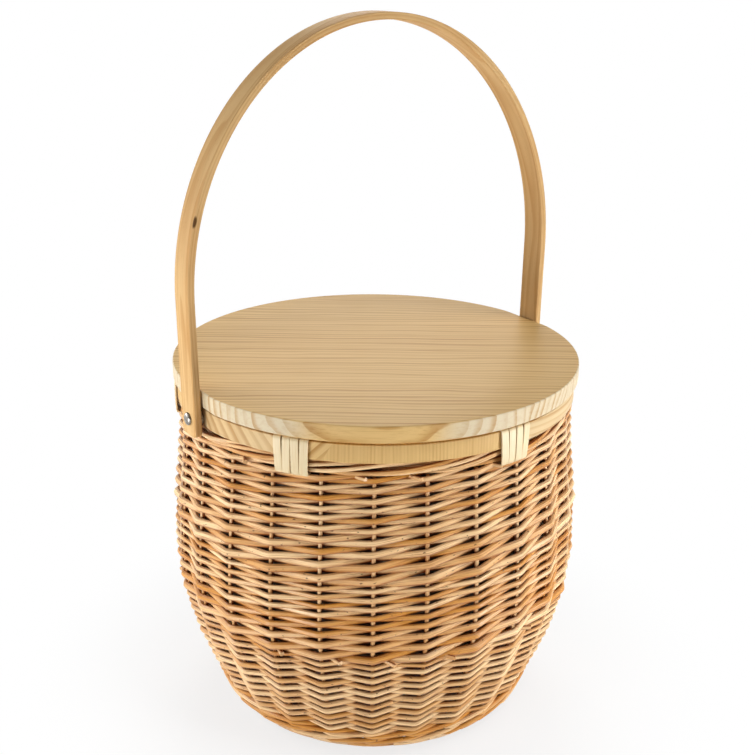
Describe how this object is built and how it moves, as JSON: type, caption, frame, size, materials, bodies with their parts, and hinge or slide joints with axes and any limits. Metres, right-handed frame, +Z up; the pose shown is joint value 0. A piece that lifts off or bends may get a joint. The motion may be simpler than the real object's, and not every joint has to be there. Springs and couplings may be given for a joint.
{
  "type": "picnic basket",
  "caption": "Round bellied willow basket with a grey fabric liner, a lift-off pine lid on a lashed pine rim ring, and a bentwood handle that swings on rivets.",
  "frame": {"origin": "centre of the foot, on the ground", "axes": "+Z up along the basket's axis, X through the two handle rivets"},
  "size_m": [0.3142, 0.31, 0.512],
  "materials": {
    "willow": "peeled buff willow rods, satin",
    "willow_stake": "peeled buff willow stakes, satin",
    "cane": "flat split cane, smooth skin side out",
    "pine": "sanded pine, clear matt oil",
    "bentwood": "steam-bent wood strip, sanded",
    "liner_fabric": "grey woven fabric, quilt-backed",
    "rivet_metal": "plain domed rivets and washers"
  },
  "bodies": {
    "basket": {"border_rod_1": "willow", "border_rod_2": "willow", "border_rod_3": "willow", "lower_weaver_a": "willow", "lower_weaver_b": "willow", "upper_weaver_a": "willow", "upper_weaver_b": "willow", "foot_border": "willow", "woven_base": "willow", "stake_01": "willow_stake", "stake_02": "willow_stake", "stake_03": "willow_stake", "stake_04": "willow_stake", "stake_05": "willow_stake", "stake_06": "willow_stake", "stake_07": "willow_stake", "stake_08": "willow_stake", "stake_09": "willow_stake", "stake_10": "willow_stake", "stake_11": "willow_stake", "stake_12": "willow_stake", "stake_13": "willow_stake", "stake_14": "willow_stake", "stake_15": "willow_stake", "stake_16": "willow_stake", "stake_17": "willow_stake", "stake_18": "willow_stake", "stake_19": "willow_stake", "stake_20": "willow_stake", "stake_21": "willow_stake", "stake_22": "willow_stake", "stake_23": "willow_stake", "stake_24": "willow_stake", "stake_25": "willow_stake", "stake_26": "willow_stake", "lashing_1": "cane", "lashing_2": "cane", "lashing_3": "cane", "lashing_4": "cane", "lashing_5": "cane", "lashing_6": "cane", "rim_ring": "pine", "liner": "liner_fabric", "rivet_left": "rivet_metal", "rivet_right": "rivet_metal", "spacer_left": "rivet_metal", "spacer_right": "rivet_metal", "burr_left": "rivet_metal", "burr_right": "rivet_metal"},
    "handle": {"handle_bow": "bentwood"},
    "lid": {"lid_board": "pine", "lid_locating_disc": "pine"}
  },
  "joints": [
    {"name": "handle_swing", "type": "hinge", "parent": "basket", "child": "handle", "pos_m": [0, 0, 0.2495], "axis": [1, 0, 0], "range_deg": [-135, 135]},
    {"name": "lid_lift", "type": "slide", "parent": "basket", "child": "lid", "axis": [0, 0, 1], "range_m": [0, 0.08]}
  ]
}
